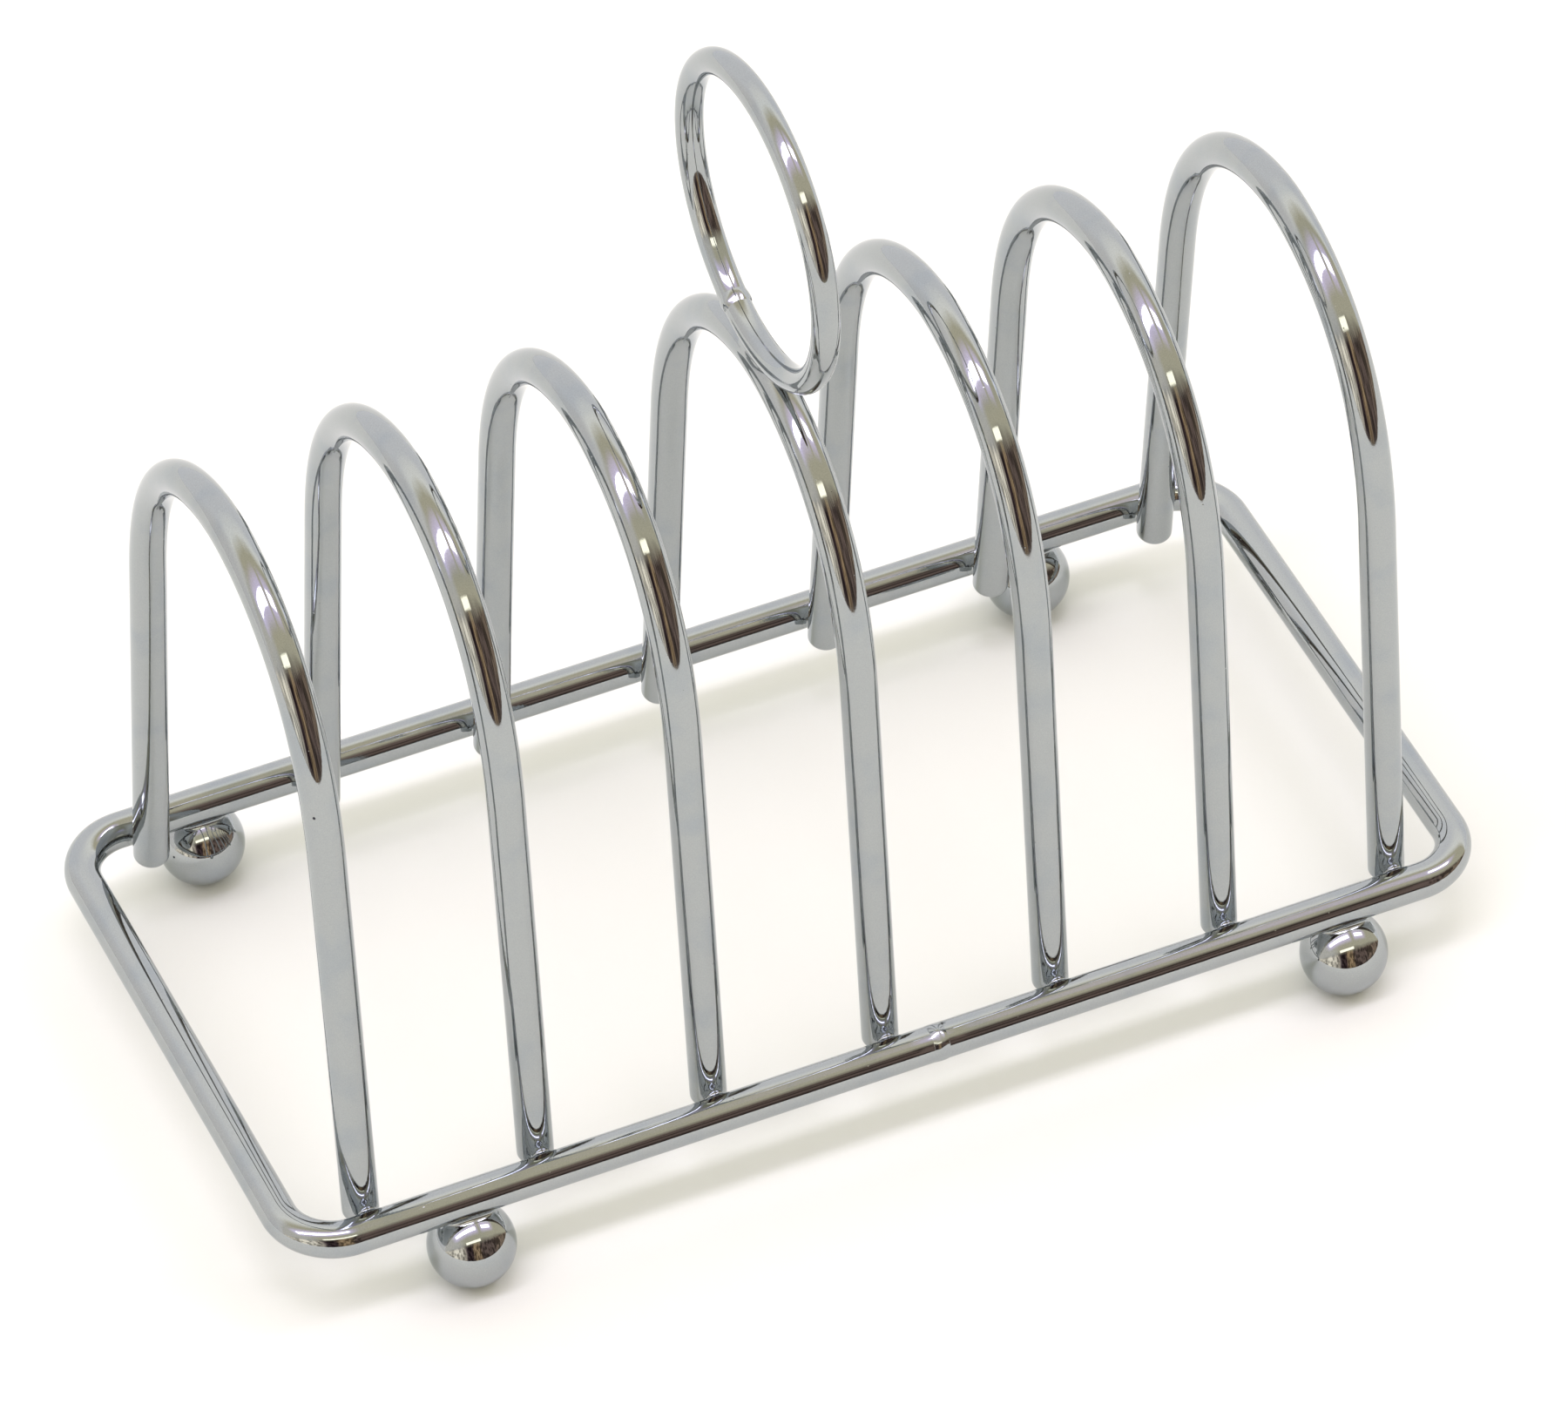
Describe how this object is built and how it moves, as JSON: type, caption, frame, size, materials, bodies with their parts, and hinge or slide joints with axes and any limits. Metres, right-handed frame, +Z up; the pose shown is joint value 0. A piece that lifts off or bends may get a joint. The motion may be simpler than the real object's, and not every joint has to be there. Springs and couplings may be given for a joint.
{
  "type": "toast rack",
  "caption": "Chromed wire toast rack: bent-wire arches on a rounded wire base with ball feet and a ring handle on the middle arch.",
  "frame": {"origin": "on the table under the middle of the base", "axes": "+X along the row of arches, +Y across the rack towards the back rail, +Z up"},
  "size_m": [0.176, 0.096, 0.1538],
  "materials": {
    "wire": "bright chrome plating on steel wire",
    "ball": "bright chrome plating on steel balls",
    "weld": "chrome plating over smooth weld metal"
  },
  "bodies": {
    "root": {"base_frame": "wire", "arch_1": "wire", "arch_2": "wire", "arch_3": "wire", "arch_4": "wire", "arch_5": "wire", "arch_6": "wire", "arch_7": "wire", "handle_ring": "wire", "ball_foot_front_left": "ball", "ball_foot_front_right": "ball", "ball_foot_back_left": "ball", "ball_foot_back_right": "ball", "base_butt_weld": "weld", "handle_butt_weld": "weld", "handle_weld": "weld", "leg_weld_front_1": "weld", "leg_weld_back_1": "weld", "leg_weld_front_2": "weld", "leg_weld_back_2": "weld", "leg_weld_front_3": "weld", "leg_weld_back_3": "weld", "leg_weld_front_4": "weld", "leg_weld_back_4": "weld", "leg_weld_front_5": "weld", "leg_weld_back_5": "weld", "leg_weld_front_6": "weld", "leg_weld_back_6": "weld", "leg_weld_front_7": "weld", "leg_weld_back_7": "weld", "foot_weld_front_left": "weld", "foot_weld_front_right": "weld", "foot_weld_back_left": "weld", "foot_weld_back_right": "weld"}
  },
  "joints": []
}
